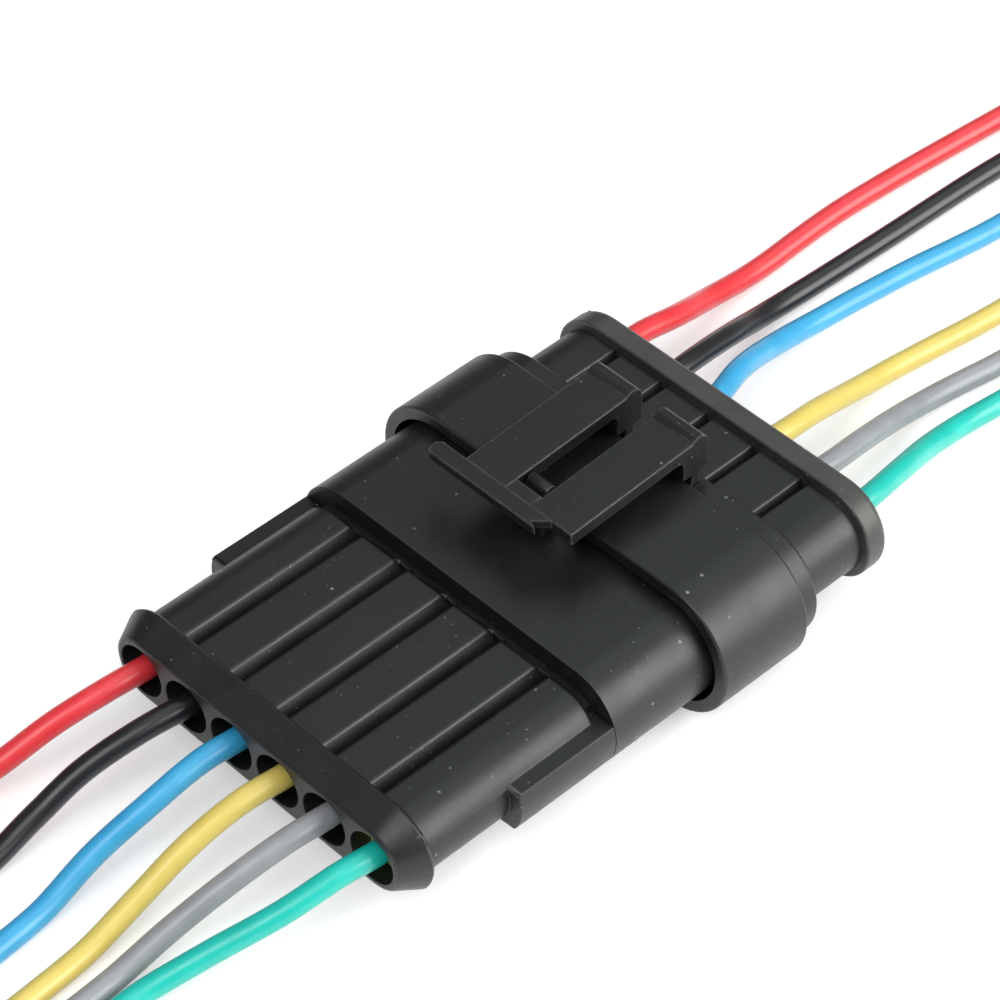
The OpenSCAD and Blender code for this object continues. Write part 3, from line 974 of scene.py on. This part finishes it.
    def strands(self, name: str, line: list[Vector], shape: bpy.types.Mesh) -> bpy.types.Object:
        """Put a copy of the bundle of strands in a wire's cut end.

        Args:
            name: The name of the piece.
            line: The points that the wire follows.
            shape: The mesh of the bundle.

        Returns:
            The strands of this wire.
        """
        end, way = line[-1], (line[-1] - line[-2]).normalized()
        turn = way.to_track_quat("Z", "Y").to_matrix().to_4x4()
        piece = bpy.data.objects.new(name, shape.copy())
        piece.data.transform(Matrix.Translation(end) @ turn)
        bpy.context.scene.collection.objects.link(piece)
        return piece


CAP_ROUTES: dict[Lead, list[Point]] = {
    Lead.RED: [(-33, 15.5, 7), (-38.5, 16.6, 5.8), (-45, 18.1, 3.2), (-53, 20, 1.3),
               (-74, 22, 1.2), (-95, 21.5, 1.2), (-116, 22.5, 1.2)],
    Lead.BLACK: [(-34.4, 9.9, 6.8), (-40, 11, 5.2), (-45.3, 11.4, 3), (-52, 11.2, 1.3),
                 (-73, 12.4, 1.2), (-95, 12.2, 1.2), (-116, 13.4, 1.2)],
    Lead.BLUE: [(-33, 3.4, 7), (-38.5, 3.6, 5.8), (-44.5, 4.2, 3.5), (-52, 3.7, 1.3),
                (-73, 2.4, 1.2), (-95, 3.2, 1.2), (-116, 2.4, 1.2)],
    Lead.YELLOW: [(-33.5, -2.5, 7), (-39, -2.1, 5.6), (-45, -2, 3.2), (-52, -2.3, 1.3),
                  (-73, -3.4, 1.2), (-95, -3.4, 1.2), (-116, -3, 1.2)],
    Lead.GREY: [(-33.5, -8.5, 7), (-39, -7.6, 5.6), (-45, -6.4, 3.1), (-52, -6.1, 1.3),
                (-73, -7, 1.2), (-95, -8, 1.2), (-116, -8.6, 1.2)],
    Lead.GREEN: [(-32.8, -14.4, 7), (-38.5, -13.2, 5.6), (-45, -10.5, 3), (-52, -8.8, 1.3),
                 (-73, -10.4, 1.2), (-95, -12.4, 1.2), (-116, -13.6, 1.2)],
}
PLUG_ROUTES: dict[Lead, list[Point]] = {
    Lead.RED: [(33.2, 15.7, 7), (39, 16.1, 5.6), (45.6, 17.7, 2.9), (53, 18.5, 1.3),
               (66.6, 19, 1.2), (88.9, 17.5, 1.2), (116, 15, 1.2)],
    Lead.BLACK: [(33.7, 9.6, 6.9), (40.8, 11.1, 4.9), (48.5, 13, 1.9), (56, 13.2, 1.2),
                 (65.4, 12.9, 1.2), (83.3, 12.4, 1.2), (116, 9.6, 1.2)],
    Lead.BLUE: [(33.3, 4.6, 6.9), (38, 6.4, 5.8), (44.7, 8.5, 3), (52, 9.2, 1.3),
                (63, 8.1, 1.2), (76, 6.2, 1.2), (116, 3.6, 1.2)],
    Lead.YELLOW: [(33.6, -3.2, 6.9), (39.2, -2.4, 5.5), (46, -1.1, 2.8), (53, -0.7, 1.3),
                  (66.2, -2.3, 1.2), (90, -3.4, 1.2), (116, -2.6, 1.2)],
    Lead.GREY: [(33.6, -9.1, 6.9), (38.6, -8.3, 5.7), (45.7, -6.6, 2.9), (52.5, -6.1, 1.3),
                (62, -7.4, 1.2), (90, -9, 1.2), (116, -8.6, 1.2)],
    Lead.GREEN: [(33, -14.7, 7), (38.8, -13.4, 5.6), (46, -11.3, 2.8), (53, -10.7, 1.3),
                 (66, -12.2, 1.2), (90, -14.2, 1.2), (116, -14.6, 1.2)],
}


@dataclass(frozen=True)
class Softbox:
    """A square lamp: where it stands, how wide it is, how strong and of what colour."""

    name: str
    place: Point
    width: float
    watts: float
    tint: Colour = (1.0, 1.0, 1.0)


@dataclass
class Studio:
    """The pale floor, the soft light and the camera at the photograph's angle."""

    camera_place: Point = (-179.14 * MM, -185.92 * MM, 274.16 * MM)
    look: Point = (0.4931, 0.5121, -0.7033)
    level: Point = (0.7202, -0.6937, 0.0)
    focal_px: float = 4122.6
    photo_px: float = 1000.0
    sensor_mm: float = 36.0
    clip_start: float = 10 * MM
    floor_width: float = 6.0
    floor_tone: Colour = (0.90, 0.90, 0.90)
    floor_roughness: float = 0.9
    floor_specular: float = 0.1
    floor_lift: float = 0.36
    world_strength: float = 0.15
    boxes: tuple[Softbox, ...] = (
        Softbox("key_softbox", (0.42, -0.64, 0.40), 0.66, 8.0, (1.0, 0.995, 0.96)),
        Softbox("top_softbox", (0.40, 0.12, 0.78), 0.74, 1.6, (0.88, 0.96, 1.0)),
        Softbox("front_fill", (-0.25, -0.30, 0.90), 0.60, 2.6),
        Softbox("left_fill", (-0.62, -0.12, 0.74), 0.60, 3.4),
    )

    def build(self) -> None:
        """Set up the whole studio."""
        bpy.context.scene.view_settings.view_transform = "Standard"
        self.floor()
        self.lamps()
        self.world()
        self.camera()
        log.info("studio: floor, %d softboxes and camera", len(self.boxes))

    def floor(self) -> None:
        """Lay a wide pale floor that keeps the object's shadow, and lift its tone where it is seen."""
        bpy.ops.mesh.primitive_plane_add(size=self.floor_width, location=(0, 0, 0))
        floor = bpy.context.active_object
        floor.name = "studio_floor"
        material = bpy.data.materials.new("pale_floor")
        material.use_nodes = True
        tree = material.node_tree
        shader = tree.nodes["Principled BSDF"]
        shader.inputs["Base Color"].default_value = (*self.floor_tone, 1)
        shader.inputs["Roughness"].default_value = self.floor_roughness
        shader.inputs["Specular IOR Level"].default_value = self.floor_specular
        shader.inputs["Emission Color"].default_value = WHITE
        rays = tree.nodes.new("ShaderNodeLightPath").outputs
        seen = combine(tree, Join.LARGER, rays["Is Camera Ray"], rays["Is Glossy Ray"])
        tree.links.new(self.brightness(tree, seen, 0.0, self.floor_lift), shader.inputs["Emission Strength"])
        dress(floor, material)

    @staticmethod
    def brightness(tree: Tree, seen: Socket, unseen_level: float, seen_level: float) -> Socket:
        """Set one brightness for the rays that light the object, and another for those that see.

        Args:
            tree: The node tree to add it to.
            seen: A signal that is 1 for a ray that sees.
            unseen_level: The brightness for other rays.
            seen_level: The brightness for a ray that sees.

        Returns:
            The brightness.
        """
        level = tree.nodes.new("ShaderNodeMapRange")
        level.inputs["To Min"].default_value = unseen_level
        level.inputs["To Max"].default_value = seen_level
        tree.links.new(seen, level.inputs["Value"])
        return level.outputs["Result"]

    def lamps(self) -> None:
        """Hang the softboxes, each turned to the object."""
        for box in self.boxes:
            lamp = bpy.data.lights.new(box.name, "AREA")
            lamp.shape = "SQUARE"
            lamp.size = box.width
            lamp.energy = box.watts
            lamp.color = box.tint
            stand = bpy.data.objects.new(box.name, lamp)
            stand.location = box.place
            stand.rotation_euler = (-Vector(box.place)).to_track_quat("-Z", "Y").to_euler()
            bpy.context.scene.collection.objects.link(stand)

    def world(self) -> None:
        """Fill the room with even light, white where the camera sees it."""
        world = bpy.data.worlds.new("studio_world")
        bpy.context.scene.world = world
        world.use_nodes = True
        tree = world.node_tree
        glow = tree.nodes["Background"]
        glow.inputs["Color"].default_value = WHITE
        seen = tree.nodes.new("ShaderNodeLightPath").outputs["Is Camera Ray"]
        tree.links.new(self.brightness(tree, seen, self.world_strength, 1.0), glow.inputs["Strength"])

    def camera(self) -> None:
        """Stand the camera where the photograph was taken from."""
        lens = bpy.data.cameras.new("photo_camera")
        lens.sensor_width = self.sensor_mm
        lens.lens = self.focal_px / self.photo_px * self.sensor_mm
        lens.clip_start = self.clip_start
        eye = bpy.data.objects.new("photo_camera", lens)
        look = Vector(self.look).normalized()
        across = (Vector(self.level) - Vector(self.level).dot(look) * look).normalized()
        up = across.cross(look)
        turn = Matrix((across, up, -look)).transposed().to_4x4()
        eye.matrix_world = Matrix.Translation(self.camera_place) @ turn
        bpy.context.scene.collection.objects.link(eye)
        bpy.context.scene.camera = eye


def main() -> None:
    """Build the studio, the leads and the housings, and report them."""
    logging.basicConfig(level=logging.INFO, format="%(message)s")
    Studio().build()
    Leads(Half.CAP, CAP_ROUTES).build()
    Leads(Half.PLUG, PLUG_ROUTES).build()
    Housings().build()


if __name__ == "__main__":
    main()
